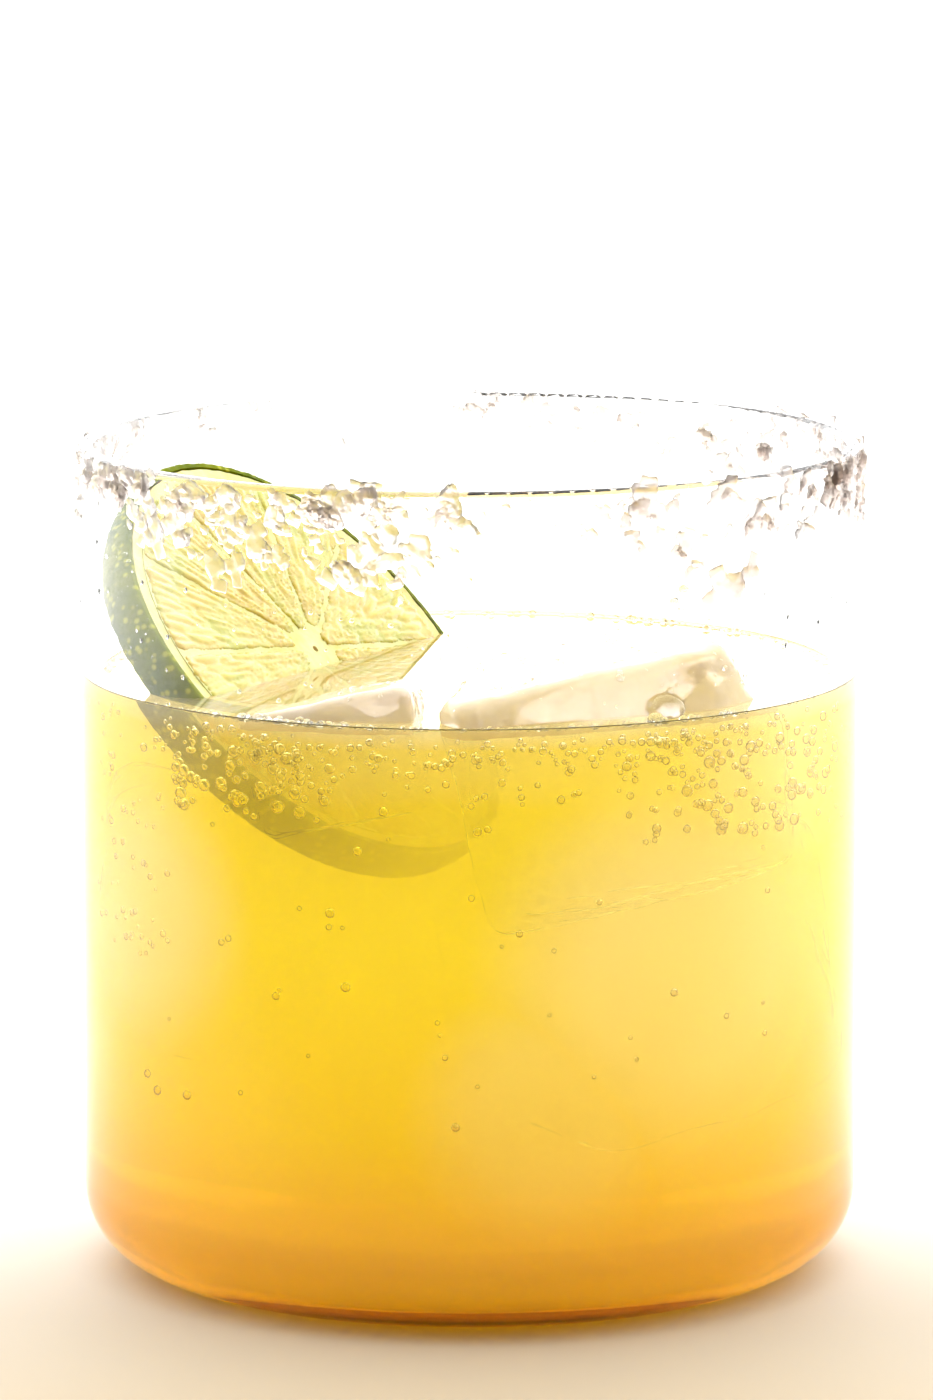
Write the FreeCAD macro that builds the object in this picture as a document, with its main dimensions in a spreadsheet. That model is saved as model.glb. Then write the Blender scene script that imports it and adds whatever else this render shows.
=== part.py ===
import FreeCAD, Part
import Sketcher
import math
import os

# Margarita on ice in a straight-sided tumbler, with a salted rim and a wheel of lime.
# Millimetres, +Z up. The origin is the middle of the glass's base, on the table.
# The glass is looked at along +Y, so -Y is its front and -X its left.

doc = FreeCAD.newDocument("Margarita")

# ---------------------------------------------------------------- driving dimensions
sizes = doc.addObject("Spreadsheet::Sheet", "sizes")
driving = [
    # glass
    ("glassDiameter", 83.0, "outside of the wall"),
    ("glassHeight", 88.5, "table to rim"),
    ("wallThickness", 1.6, "side wall"),
    ("floorThickness", 3.0, "glass under the drink"),
    ("outerCornerRadius", 8.5, "rounding of the foot, outside"),
    ("innerCornerRadius", 6.5, "rounding of the foot, inside"),
    ("rimRounding", 0.7, "each edge of the rim"),
    # drink
    ("headspace", 24.7, "rim down to the surface of the drink"),
    # wheel of lime
    ("limeDiameter", 52.0, "across the rind"),
    ("limeThickness", 4.6, "thickness of the cut wheel"),
    ("rindThickness", 1.2, "green zest"),
    ("pithThickness", 1.5, "white ring inside the zest"),
    ("membraneThickness", 0.6, "wall between two segments"),
    ("segmentCount", 10, "segments in the wheel"),
    ("segmentUnevenness", 3.0, "degrees a membrane strays from even spacing"),
    ("segmentRounding", 0.9, "upright edges of a segment"),
    ("limeSpin", 12.0, "degrees the wheel is turned in its own plane"),
    ("limeYaw", -29.4, "degrees, the way the cut face looks from above"),
    ("limeTilt", 47.2, "degrees, the cut face away from level"),
    ("limeLeanAzimuth", 165.2, "degrees, the side of the glass it leans on"),
    ("limeLift", 0.1, "middle of the wheel above the surface"),
    ("wallClearance", 0.25, "lime and ice to the inside of the wall"),
    # ice, plan sizes before the pieces are tilted
    ("iceClearance", 0.6, "ice to the wheel of lime"),
    ("blockLength", 38.0, "large piece"),
    ("blockWidth", 24.0, "large piece"),
    ("blockHeight", 25.0, "large piece"),
    ("blockFrontCut", 9.0, "corner cut off at the front right, along the length"),
    ("blockEndCut", 5.0, "corner cut off at the front right, along the width"),
    ("blockBackCut", 14.0, "corner cut off at the back left, along the length"),
    ("blockSideCut", 19.0, "corner cut off at the back left, along the width"),
    ("blockEndRun", 10.0, "slope at the right end of the top, along the length"),
    ("blockEndFall", 6.0, "slope at the right end of the top, downwards"),
    ("blockTaper", 4.0, "degrees, sides narrowing upwards"),
    ("blockRounding", 1.8, "melted edges"),
    ("blockYaw", 26.0, "degrees"),
    ("blockPitch", -8.0, "degrees, right end up"),
    ("blockRoll", -3.0, "degrees, front edge up"),
    ("blockAzimuth", -62.0, "degrees, the side of the glass it floats at"),
    ("blockRise", 4.4, "middle of its top above the surface"),
    ("wedgeLength", 18.0, "small piece"),
    ("wedgeWidth", 11.0, "small piece"),
    ("wedgeHeight", 13.0, "small piece"),
    ("wedgeTaper", 3.0, "degrees, sides narrowing upwards"),
    ("wedgeRounding", 1.4, "melted edges"),
    ("wedgeYaw", -6.0, "degrees"),
    ("wedgePitch", -13.0, "degrees, right end up"),
    ("wedgeRoll", -4.0, "degrees, front edge up"),
    ("wedgeAzimuth", -118.0, "degrees, the side of the glass it floats at"),
    ("wedgeRise", 1.6, "middle of its top above the surface"),
    # salt
    ("saltThickness", 1.1, "crust outside the wall"),
    ("saltBelowRim", 0.5, "rim down to the crust"),
    ("saltBand", 2.2, "even part of the crust"),
    ("saltLobeRadius", 2.6, "a lump of crystals"),
    ("saltHeavyRadius", 5.4, "a lump where the salt is heaviest"),
    ("saltHeavyAzimuth", -119.0, "degrees, where the salt is heaviest"),
    ("saltHeavySpread", 30.0, "degrees to each side"),
    ("saltLobeCount", 40, "lumps round the rim"),
]
for row, (alias, value, note) in enumerate(driving, start=1):
    sizes.set("A%d" % row, alias)
    sizes.set("B%d" % row, "%g" % value)
    sizes.setAlias("B%d" % row, alias)
    sizes.set("C%d" % row, note)
doc.recompute()


def size(alias):
    return float(sizes.get(alias))


# ---------------------------------------------------------------- sketch helpers
def originPlane(body, role):
    return next(plane for plane in body.Origin.OriginFeatures if plane.Role == role)


def newSketch(body, name, role):
    sketch = body.newObject("Sketcher::SketchObject", name)
    sketch.AttachmentSupport = [(originPlane(body, role), "")]
    sketch.MapMode = "FlatFace"
    return sketch


def bind(sketch, kind, places, expression, start):
    """Adds a dimension and ties it to an expression on the sheet."""
    index = sketch.addConstraint(Sketcher.Constraint(kind, *places, start))
    sketch.setExpression("Constraints[%d]" % index, expression)


def closedOutline(sketch, points):
    """Straight sides from point to point, joined end to end."""
    corners = [FreeCAD.Vector(x, y, 0) for x, y in points]
    count = len(corners)
    for i in range(count):
        sketch.addGeometry(Part.LineSegment(corners[i], corners[(i + 1) % count]), False)
    for i in range(count):
        sketch.addConstraint(Sketcher.Constraint("Coincident", i, 2, (i + 1) % count, 1))


def halfSection(body, name, radius, low, high):
    """Rectangle from the Z axis out to radius, between two heights, to be turned about the axis."""
    sketch = newSketch(body, name, "XZ_Plane")
    closedOutline(sketch, [(0, 1), (30, 1), (30, 50), (0, 50)])
    for side in (0, 2):
        sketch.addConstraint(Sketcher.Constraint("Horizontal", side))
    sketch.addConstraint(Sketcher.Constraint("Vertical", 1))
    sketch.addConstraint(Sketcher.Constraint("PointOnObject", 0, 1, -2))
    sketch.addConstraint(Sketcher.Constraint("PointOnObject", 3, 1, -2))
    if low is None:
        sketch.addConstraint(Sketcher.Constraint("PointOnObject", 0, 2, -1))
    else:
        bind(sketch, "DistanceY", (-1, 1, 0, 1), low, 1)
    bind(sketch, "DistanceX", (-1, 1, 0, 2), radius, 30)
    bind(sketch, "DistanceY", (-1, 1, 2, 2), high, 50)
    return sketch


def turned(body, kind, name, sketch):
    """Revolution or Groove of a half section, all the way round the Z axis."""
    feature = body.newObject("PartDesign::" + kind, name)
    feature.Profile = sketch
    feature.ReferenceAxis = (sketch, ["V_Axis"])
    feature.Angle = 360
    body.Tip = feature
    doc.recompute()
    return feature


def rounded(body, name, base, wanted, radius):
    """Fillet on the edges of base for which wanted(edge) is true."""
    names = ["Edge%d" % (i + 1) for i, edge in enumerate(base.Shape.Edges) if wanted(edge)]
    fillet = body.newObject("PartDesign::Fillet", name)
    fillet.Base = (base, names)
    fillet.setExpression("Radius", radius)
    body.Tip = fillet
    doc.recompute()
    return fillet


def circleAt(radius, height):
    """Test for the full circle of that radius round the Z axis at that height."""
    def test(edge):
        box = edge.BoundBox
        return (abs(box.XMax - radius) < 0.01 and abs(box.ZMax - height) < 0.01
                and box.ZLength < 0.01)
    return test


def upright(edge):
    """Test for an edge that runs from the lower face to the upper face."""
    return edge.BoundBox.ZLength > 0.5


# ---------------------------------------------------------------- glass
innerRadius = "(sizes.glassDiameter / 2 - sizes.wallThickness)"
drinkLevel = "(sizes.glassHeight - sizes.headspace)"
outerRadiusNow = size("glassDiameter") / 2
innerRadiusNow = outerRadiusNow - size("wallThickness")
drinkLevelNow = size("glassHeight") - size("headspace")


def makeGlass():
    body = doc.addObject("PartDesign::Body", "glass")
    outside = halfSection(body, "glassOutside", "sizes.glassDiameter / 2", None, "sizes.glassHeight")
    blank = turned(body, "Revolution", "glassBlank", outside)
    inside = halfSection(body, "glassInside", innerRadius, "sizes.floorThickness",
                         "sizes.glassHeight + 1")
    hollow = turned(body, "Groove", "glassHollow", inside)
    if not hollow.Shape.Volume < blank.Shape.Volume:
        raise RuntimeError("the inside of the glass cut nothing")
    foot = rounded(body, "footOutside", hollow, circleAt(outerRadiusNow, 0),
                   "sizes.outerCornerRadius")
    bowl = rounded(body, "footInside", foot, circleAt(innerRadiusNow, size("floorThickness")),
                   "sizes.innerCornerRadius")
    top = size("glassHeight")
    outerRim = circleAt(outerRadiusNow, top)
    innerRim = circleAt(innerRadiusNow, top)
    rounded(body, "rim", bowl, lambda edge: outerRim(edge) or innerRim(edge), "sizes.rimRounding")
    return body


# ---------------------------------------------------------------- wheel of lime
def wheelEdge(radius, halfThickness, yaw, tilt, steps=180):
    """Points on both rims of a tilted wheel whose middle is the origin."""
    turn = FreeCAD.Rotation(yaw, tilt, 0)
    points = []
    for i in range(steps):
        angle = 2 * math.pi * i / steps
        for side in (-halfThickness, halfThickness):
            rim = FreeCAD.Vector(radius * math.cos(angle), radius * math.sin(angle), side)
            points.append(turn.multVec(rim))
    return points


def reachToWall(points, azimuth):
    """How far the points can move from the axis along azimuth before one is a clearance from the wall."""
    limit = innerRadiusNow - size("wallClearance")
    along = FreeCAD.Vector(math.cos(math.radians(azimuth)), math.sin(math.radians(azimuth)), 0)
    room = []
    for point in points:
        flat = FreeCAD.Vector(point.x, point.y, 0)
        forward = flat.dot(along)
        room.append(math.sqrt(forward ** 2 - flat.dot(flat) + limit ** 2) - forward)
    return min(room)


def derived(alias, value, note):
    """A value worked out from the driving ones, kept on the sheet for expressions to use."""
    row = len(driving) + 1
    driving.append((alias, value, note))
    sizes.set("A%d" % row, alias)
    sizes.set("B%d" % row, "%.6f" % value)
    sizes.setAlias("B%d" % row, alias)
    sizes.set("C%d" % row, note)
    doc.recompute()


limeReach = reachToWall(
    wheelEdge(size("limeDiameter") / 2, size("limeThickness") / 2, size("limeYaw"), size("limeTilt")),
    size("limeLeanAzimuth"))
derived("limeReach", limeReach, "middle of the wheel from the axis of the glass")
limePlace = (
    "placement(vector(sizes.limeReach * cos(sizes.limeLeanAzimuth * 1 deg);"
    " sizes.limeReach * sin(sizes.limeLeanAzimuth * 1 deg); %s + sizes.limeLift);"
    " rotation(sizes.limeYaw; sizes.limeTilt; 0))" % drinkLevel)
pithRadius = "(sizes.limeDiameter / 2 - sizes.rindThickness)"
pulpRadius = "(sizes.limeDiameter / 2 - sizes.rindThickness - sizes.pithThickness)"
pulpRadiusNow = size("limeDiameter") / 2 - size("rindThickness") - size("pithThickness")


def wheelDisc(name, radius):
    """Disc of the wheel's thickness, half of it to each side of the wheel's middle plane."""
    disc = doc.addObject("Part::Cylinder", name)
    disc.setExpression("Radius", radius)
    disc.setExpression("Height", "sizes.limeThickness")
    disc.setExpression("Placement", limePlace + " * placement(vector(0; 0; -sizes.limeThickness / 2);"
                       " rotation(0; 0; 0))")
    return disc


def membraneAngle(i):
    """Expression, in degrees, for the membrane before segment i."""
    stray = math.sin(2.4 * (i % int(size("segmentCount"))) + 1)
    return "(%d * 360 / sizes.segmentCount + %.4f * sizes.segmentUnevenness + sizes.limeSpin)" % (i, stray)


def makeSegment(i):
    """Pulp between two membranes: a wedge with its apex at the core and an arc along the pith."""
    body = doc.addObject("PartDesign::Body", "lime_segment_%02d" % (i + 1))
    sketch = newSketch(body, "segmentOutline%02d" % (i + 1), "XY_Plane")
    before, after = membraneAngle(i), membraneAngle(i + 1)
    half = "((%s - %s) / 2)" % (after, before)
    sketch.setExpression("AttachmentOffset",
                         "placement(vector(0; 0; -sizes.limeThickness / 2);"
                         " rotation((%s + %s) / 2; 0; 0))" % (before, after))
    halfNow = math.pi / size("segmentCount")
    apexNow = size("membraneThickness") / 2 / math.sin(halfNow)
    spread = 0.9 * halfNow
    corner = FreeCAD.Vector(pulpRadiusNow * math.cos(spread), pulpRadiusNow * math.sin(spread), 0)
    mirror = FreeCAD.Vector(corner.x, -corner.y, 0)
    apex = FreeCAD.Vector(apexNow, 0, 0)
    sketch.addGeometry(Part.LineSegment(mirror, apex), False)
    sketch.addGeometry(Part.LineSegment(apex, corner), False)
    circle = Part.Circle(FreeCAD.Vector(0, 0, 0), FreeCAD.Vector(0, 0, 1), pulpRadiusNow)
    sketch.addGeometry(Part.ArcOfCircle(circle, -spread, spread), False)
    sketch.addConstraint(Sketcher.Constraint("Coincident", 0, 2, 1, 1))
    sketch.addConstraint(Sketcher.Constraint("Coincident", 1, 2, 2, 2))
    sketch.addConstraint(Sketcher.Constraint("Coincident", 2, 1, 0, 1))
    sketch.addConstraint(Sketcher.Constraint("Coincident", 2, 3, -1, 1))
    sketch.addConstraint(Sketcher.Constraint("PointOnObject", 0, 2, -1))
    sketch.addConstraint(Sketcher.Constraint("Vertical", 1, 2, 0, 1))
    bind(sketch, "Radius", (2,), pulpRadius, pulpRadiusNow)
    bind(sketch, "Angle", (-1, 1, 1, 1), "%s * 1 deg" % half, halfNow)
    bind(sketch, "DistanceX", (-1, 1, 1, 1),
         "sizes.membraneThickness / 2 / sin(%s * 1 deg)" % half, apexNow)
    pad = body.newObject("PartDesign::Pad", "segmentPad%02d" % (i + 1))
    pad.Profile = sketch
    pad.setExpression("Length", "sizes.limeThickness")
    body.Tip = pad
    doc.recompute()
    rounded(body, "segmentEdges%02d" % (i + 1), pad, upright, "sizes.segmentRounding")
    body.setExpression("Placement", limePlace)
    return body


def makeRind():
    """Ring of zest whose outside bulges with the curve of the whole fruit."""
    body = doc.addObject("PartDesign::Body", "lime_rind")
    sketch = newSketch(body, "rindSection", "XZ_Plane")
    outer = size("limeDiameter") / 2
    inner = outer - size("rindThickness")
    half = size("limeThickness") / 2
    edge = math.sqrt(outer ** 2 - half ** 2)
    low, high = FreeCAD.Vector(inner, -half, 0), FreeCAD.Vector(inner, half, 0)
    lowEdge, highEdge = FreeCAD.Vector(edge, -half, 0), FreeCAD.Vector(edge, half, 0)
    sketch.addGeometry(Part.LineSegment(high, low), False)
    sketch.addGeometry(Part.LineSegment(low, lowEdge), False)
    circle = Part.Circle(FreeCAD.Vector(0, 0, 0), FreeCAD.Vector(0, 0, 1), outer)
    bulge = math.asin(half / outer)
    sketch.addGeometry(Part.ArcOfCircle(circle, -bulge, bulge), False)
    sketch.addGeometry(Part.LineSegment(highEdge, high), False)
    sketch.addConstraint(Sketcher.Constraint("Coincident", 0, 2, 1, 1))
    sketch.addConstraint(Sketcher.Constraint("Coincident", 1, 2, 2, 1))
    sketch.addConstraint(Sketcher.Constraint("Coincident", 2, 2, 3, 1))
    sketch.addConstraint(Sketcher.Constraint("Coincident", 3, 2, 0, 1))
    sketch.addConstraint(Sketcher.Constraint("Coincident", 2, 3, -1, 1))
    sketch.addConstraint(Sketcher.Constraint("Horizontal", 1))
    sketch.addConstraint(Sketcher.Constraint("Symmetric", 0, 1, 0, 2, -1))
    sketch.addConstraint(Sketcher.Constraint("Horizontal", 3))
    bind(sketch, "DistanceX", (-1, 1, 0, 1), pithRadius, inner)
    bind(sketch, "DistanceY", (0, 2, 0, 1), "sizes.limeThickness", 2 * half)
    bind(sketch, "Radius", (2,), "sizes.limeDiameter / 2", outer)
    turned(body, "Revolution", "rindRing", sketch)
    body.setExpression("Placement", limePlace)
    return body


def makePith(segments):
    """White ring, membranes and core in one: the disc inside the zest, less the pulp."""
    disc = wheelDisc("pithDisc", pithRadius)
    pulp = doc.addObject("Part::MultiFuse", "pulp")
    pulp.Shapes = segments
    pith = doc.addObject("Part::Cut", "lime_pith")
    pith.Base, pith.Tool = disc, pulp
    return pith


# ---------------------------------------------------------------- ice
def makeIce(name, rounding, outline, dimensions):
    """Chunk with a flat outline, sides that narrow upwards and melted edges. Its top is at height 0."""
    body = doc.addObject("PartDesign::Body", name + "Chunk")
    sketch = newSketch(body, name + "Outline", "XY_Plane")
    closedOutline(sketch, outline)
    for side, kind in enumerate(dimensions["sides"]):
        if kind:
            sketch.addConstraint(Sketcher.Constraint(kind, side))
    for kind, places, expression, start in dimensions["lengths"]:
        bind(sketch, kind, places, expression, start)
    pad = body.newObject("PartDesign::Pad", name + "Pad")
    pad.Profile = sketch
    pad.Reversed = True
    pad.setExpression("Length", dimensions["height"])
    pad.setExpression("TaperAngle", "-" + dimensions["taper"])
    body.Tip = pad
    doc.recompute()
    if "slope" in dimensions:
        pad = slopedEnd(body, name + "Slope", pad, *dimensions["slope"])
    rounded(body, name + "Edges", pad, lambda edge: True, rounding)
    return body


def slopedEnd(body, name, base, run, fall):
    """Planes the top off towards the chunk's +X end."""
    top = [(edge.BoundBox.Center.x, "Edge%d" % (i + 1)) for i, edge in enumerate(base.Shape.Edges)
           if abs(edge.BoundBox.ZMin) < 0.01]
    slope = body.newObject("PartDesign::Chamfer", name)
    slope.Base = (base, [max(top)[1]])
    slope.ChamferType = "Two distances"
    slope.setExpression("Size", run)
    slope.setExpression("Size2", fall)
    body.Tip = slope
    doc.recompute()
    return slope


def iceCorners(outline, height, taper, yaw, pitch, roll):
    """Corners of a chunk's top and of its wider bottom, turned as the chunk is, about the middle of its top."""
    turn = FreeCAD.Rotation(yaw, pitch, roll)
    spread = height * math.tan(math.radians(taper))
    corners = []
    for x, y in outline:
        corners.append(turn.multVec(FreeCAD.Vector(x, y, 0)))
        grown = 1 + spread / math.hypot(x, y)
        corners.append(turn.multVec(FreeCAD.Vector(x * grown, y * grown, -height)))
    return corners


def blockShape():
    """Outline of the large chunk about its middle: a rectangle with two opposite corners cut off."""
    length, width = size("blockLength") / 2, size("blockWidth") / 2
    front, end = size("blockFrontCut"), size("blockEndCut")
    back, side = size("blockBackCut"), size("blockSideCut")
    outline = [(-length, -width), (length - front, -width), (length, end - width),
               (length, width), (back - length, width), (-length, width - side)]
    dimensions = {
        "sides": ["Horizontal", None, "Vertical", "Horizontal", None, "Vertical"],
        "lengths": [
            ("DistanceX", (0, 1, -1, 1), "sizes.blockLength / 2", length),
            ("DistanceY", (0, 1, -1, 1), "sizes.blockWidth / 2", width),
            ("DistanceX", (-1, 1, 2, 2), "sizes.blockLength / 2", length),
            ("DistanceY", (-1, 1, 2, 2), "sizes.blockWidth / 2", width),
            ("DistanceX", (0, 2, 1, 2), "sizes.blockFrontCut", front),
            ("DistanceY", (0, 2, 1, 2), "sizes.blockEndCut", end),
            ("DistanceX", (4, 2, 3, 2), "sizes.blockBackCut", back),
            ("DistanceY", (4, 2, 3, 2), "sizes.blockSideCut", side),
        ],
        "height": "sizes.blockHeight",
        "taper": "sizes.blockTaper",
        "slope": ("sizes.blockEndRun", "sizes.blockEndFall"),
    }
    return outline, dimensions


def wedgeShape():
    """Outline of the small chunk about its middle: a rectangle."""
    length, width = size("wedgeLength") / 2, size("wedgeWidth") / 2
    outline = [(-length, -width), (length, -width), (length, width), (-length, width)]
    dimensions = {
        "sides": ["Horizontal", "Vertical", "Horizontal", "Vertical"],
        "lengths": [
            ("DistanceX", (0, 1, -1, 1), "sizes.wedgeLength / 2", length),
            ("DistanceY", (0, 1, -1, 1), "sizes.wedgeWidth / 2", width),
            ("DistanceX", (-1, 1, 2, 1), "sizes.wedgeLength / 2", length),
            ("DistanceY", (-1, 1, 2, 1), "sizes.wedgeWidth / 2", width),
        ],
        "height": "sizes.wedgeHeight",
        "taper": "sizes.wedgeTaper",
    }
    return outline, dimensions


def floatIce(name, short, shape, neighbours=()):
    """Puts a chunk against the wall on its own side, tilted, its top at its rise above the surface."""
    outline, dimensions = shape
    chunk = makeIce(name, "sizes.%sRounding" % short, outline, dimensions)
    corners = iceCorners(outline, size(short + "Height"), size(short + "Taper"), size(short + "Yaw"),
                         size(short + "Pitch"), size(short + "Roll"))
    reach = short + "Reach"
    derived(reach, reachToWall(corners, size(short + "Azimuth")), "middle of the piece from the axis")
    chunk.setExpression("Placement", (
        "placement(vector(sizes.{0}Reach * cos(sizes.{0}Azimuth * 1 deg);"
        " sizes.{0}Reach * sin(sizes.{0}Azimuth * 1 deg); {1} + sizes.{0}Rise);"
        " rotation(sizes.{0}Yaw; sizes.{0}Pitch; sizes.{0}Roll))").format(short, drinkLevel))
    # a chunk never runs into the wheel of lime, which has room round it, or into a neighbour
    room = doc.addObject("Part::Cylinder", name + "Room")
    room.setExpression("Radius", "sizes.limeDiameter / 2 + sizes.iceClearance")
    room.setExpression("Height", "sizes.limeThickness + 2 * sizes.iceClearance")
    room.setExpression("Placement", limePlace + " * placement(vector(0; 0;"
                       " -sizes.limeThickness / 2 - sizes.iceClearance); rotation(0; 0; 0))")
    taken = room
    if neighbours:
        taken = doc.addObject("Part::MultiFuse", name + "Taken")
        taken.Shapes = [room] + list(neighbours)
    ice = doc.addObject("Part::Cut", name)
    ice.Base, ice.Tool = chunk, taken
    return ice


# ---------------------------------------------------------------- drink
def makeDrink(sunkPieces):
    """Fills the glass from its floor to the surface, round whatever stands or floats in it."""
    body = doc.addObject("PartDesign::Body", "drinkBlank")
    section = halfSection(body, "drinkSection", innerRadius, "sizes.floorThickness", drinkLevel)
    column = turned(body, "Revolution", "drinkColumn", section)
    rounded(body, "drinkFoot", column, circleAt(innerRadiusNow, size("floorThickness")),
            "sizes.innerCornerRadius")
    sunk = doc.addObject("Part::MultiFuse", "sunkPieces")
    sunk.Shapes = sunkPieces
    drink = doc.addObject("Part::Cut", "drink")
    drink.Base, drink.Tool = body, sunk
    return drink


# ---------------------------------------------------------------- salt
def makeSalt():
    """Crust outside the rim: a thin band with lumps of crystals hanging from it, largest on one side."""
    inner = outerRadiusNow
    outer = inner + size("saltThickness")
    top = size("glassHeight") - size("saltBelowRim") - size("rimRounding")
    tall = 4 * size("saltHeavyRadius")
    band = Part.makeCylinder(outer, size("saltBand"), FreeCAD.Vector(0, 0, top - size("saltBand")))
    lumps = []
    count = int(size("saltLobeCount"))
    for i in range(count):
        azimuth = 360.0 * i / count + 4 * math.sin(3.7 * i)
        away = (azimuth - size("saltHeavyAzimuth") + 180) % 360 - 180
        heavy = math.exp(-(away / size("saltHeavySpread")) ** 2)
        grown = size("saltLobeRadius") + heavy * (size("saltHeavyRadius") - size("saltLobeRadius"))
        radius = grown * (0.8 + 0.2 * math.sin(5.1 * i))
        middle = top - size("saltBand") - radius * (0.15 + 0.35 * math.cos(2.3 * i) ** 2)
        angle = math.radians(azimuth)
        outward = FreeCAD.Vector(math.cos(angle), math.sin(angle), 0)
        start = outward * (inner * 0.8)
        start.z = middle
        lumps.append(Part.makeCylinder(radius, inner * 0.3, start, outward))
    ceiling = Part.makeCylinder(outer, tall, FreeCAD.Vector(0, 0, top - tall))
    crust = ceiling.common(band.fuse(lumps))
    crust = crust.cut(Part.makeCylinder(inner, 2 * tall, FreeCAD.Vector(0, 0, top - tall * 1.5)))
    salt = doc.addObject("Part::Feature", "salt_rim")
    salt.Shape = crust.removeSplitter()
    return salt


# ---------------------------------------------------------------- the whole
glass = makeGlass()
segments = [makeSegment(i) for i in range(int(size("segmentCount")))]
rind = makeRind()
pith = makePith(segments)
block = floatIce("ice_block", "block", blockShape())
wedge = floatIce("ice_wedge", "wedge", wedgeShape(), [block])
wheel = [rind, wheelDisc("wheelCore", pithRadius)]
drink = makeDrink(wheel + [block, wedge])
salt = makeSalt()
doc.recompute()

parts = [glass, drink, rind, pith, block, wedge, salt] + segments
for feature in doc.Objects:
    if "Invalid" in feature.State or "Error" in feature.State:
        raise RuntimeError("%s failed: %s" % (feature.Name, feature.State))
for part in parts:
    part.Label = part.Name
    if part.Shape.isNull() or not part.Shape.isValid() or len(part.Shape.Solids) != 1:
        raise RuntimeError("%s isn't one valid solid" % part.Name)

os.makedirs("parts", exist_ok=True)
for part in parts:
    part.Shape.exportStep("parts/%s.step" % part.Label)
    print("%-18s %9.1f mm3" % (part.Label, part.Shape.Volume))
print("wheel of lime %.2f mm from the axis" % limeReach)
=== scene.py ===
import math
import random

import bpy
from mathutils import Matrix, Vector, noise


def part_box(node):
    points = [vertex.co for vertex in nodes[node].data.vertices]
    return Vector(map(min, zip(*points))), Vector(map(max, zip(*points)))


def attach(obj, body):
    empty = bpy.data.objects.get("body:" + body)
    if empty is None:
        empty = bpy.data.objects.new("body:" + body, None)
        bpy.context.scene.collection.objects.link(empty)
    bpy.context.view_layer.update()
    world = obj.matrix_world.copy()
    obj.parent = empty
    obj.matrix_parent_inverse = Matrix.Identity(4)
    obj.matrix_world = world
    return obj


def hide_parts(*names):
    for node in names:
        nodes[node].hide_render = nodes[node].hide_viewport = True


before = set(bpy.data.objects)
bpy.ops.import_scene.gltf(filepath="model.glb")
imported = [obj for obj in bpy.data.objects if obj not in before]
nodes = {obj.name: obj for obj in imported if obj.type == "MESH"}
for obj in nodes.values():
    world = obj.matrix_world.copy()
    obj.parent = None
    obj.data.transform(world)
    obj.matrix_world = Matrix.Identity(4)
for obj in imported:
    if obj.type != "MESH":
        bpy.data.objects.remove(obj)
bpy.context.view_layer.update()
mm = .001

# heights and radii that every piece is placed by, in metres
_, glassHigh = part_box("glass")
drinkLow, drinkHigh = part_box("drink")
outerRadius = glassHigh[0]
innerRadius = drinkHigh[0]  # the drink fills the glass up to its wall
rimHeight = glassHigh[2]
glassFloor = drinkLow[2]
drinkLevel = drinkHigh[2]


def deselectAll():
    if bpy.context.object and bpy.context.object.mode != "OBJECT":
        bpy.ops.object.mode_set(mode="OBJECT")
    bpy.ops.object.select_all(action="DESELECT")


def pick(*things):
    deselectAll()
    for thing in things:
        thing.select_set(True)
    bpy.context.view_layer.objects.active = things[-1]


def startEdit(thing, kind="FACE"):
    pick(thing)
    bpy.ops.object.mode_set(mode="EDIT")
    bpy.ops.mesh.select_mode(type=kind)
    bpy.ops.mesh.select_all(action="DESELECT")


def endEdit():
    bpy.ops.object.mode_set(mode="OBJECT")


def useModifier(thing, kind, **values):
    pick(thing)
    modifier = thing.modifiers.new(kind.lower(), kind)
    for key, value in values.items():
        setattr(modifier, key, value)
    bpy.ops.object.modifier_apply(modifier=modifier.name)


def joinAs(things, name):
    pick(*things)
    bpy.ops.object.join()
    joined = bpy.context.object
    joined.name = name
    joined.data.name = name
    return joined


def settle(thing, place=None):  # puts the object's place into its mesh
    pick(thing)
    if place is not None:
        thing.matrix_world = place
    bpy.ops.object.transform_apply(location=True, rotation=True, scale=True)


def smooth(thing, angle=180):
    pick(thing)
    bpy.ops.object.shade_smooth_by_angle(angle=math.radians(angle))


def copyOfNode(node, name):  # a merged copy of a CAD node to work on
    thing = nodes[node].copy()
    thing.data = nodes[node].data.copy()
    thing.name = name
    thing.data.name = name
    thing.data.materials.clear()
    bpy.context.scene.collection.objects.link(thing)
    startEdit(thing, "VERT")
    bpy.ops.mesh.select_all(action="SELECT")
    bpy.ops.mesh.remove_doubles(threshold=.00001)
    endEdit()
    if thing.data.has_custom_normals:
        bpy.ops.mesh.customdata_custom_splitnormals_clear()
    return thing


def flatRing(name, radius, height, sides, filling):
    place = (0, 0, height)
    bpy.ops.mesh.primitive_circle_add(vertices=sides, radius=radius, location=place, fill_type=filling)
    ring = bpy.context.object
    ring.name = name
    ring.data.name = name
    return ring


def turnedSolid(name, profile, sides=128):  # rings of (radius, height) from the bottom to the top
    radius, height = profile[0]
    thing = flatRing(name, radius, height, sides, "NGON")
    startEdit(thing)
    bpy.ops.mesh.select_all(action="SELECT")
    for nextRadius, nextHeight in profile[1:]:
        bpy.ops.mesh.extrude_region_move(TRANSFORM_OT_translate={"value": (0, 0, nextHeight - height)})
        bpy.ops.transform.resize(value=(nextRadius / radius, nextRadius / radius, 1))
        radius, height = nextRadius, nextHeight
    bpy.ops.mesh.select_all(action="SELECT")
    bpy.ops.mesh.normals_make_consistent(inside=False)
    endEdit()
    settle(thing)
    return thing


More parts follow.
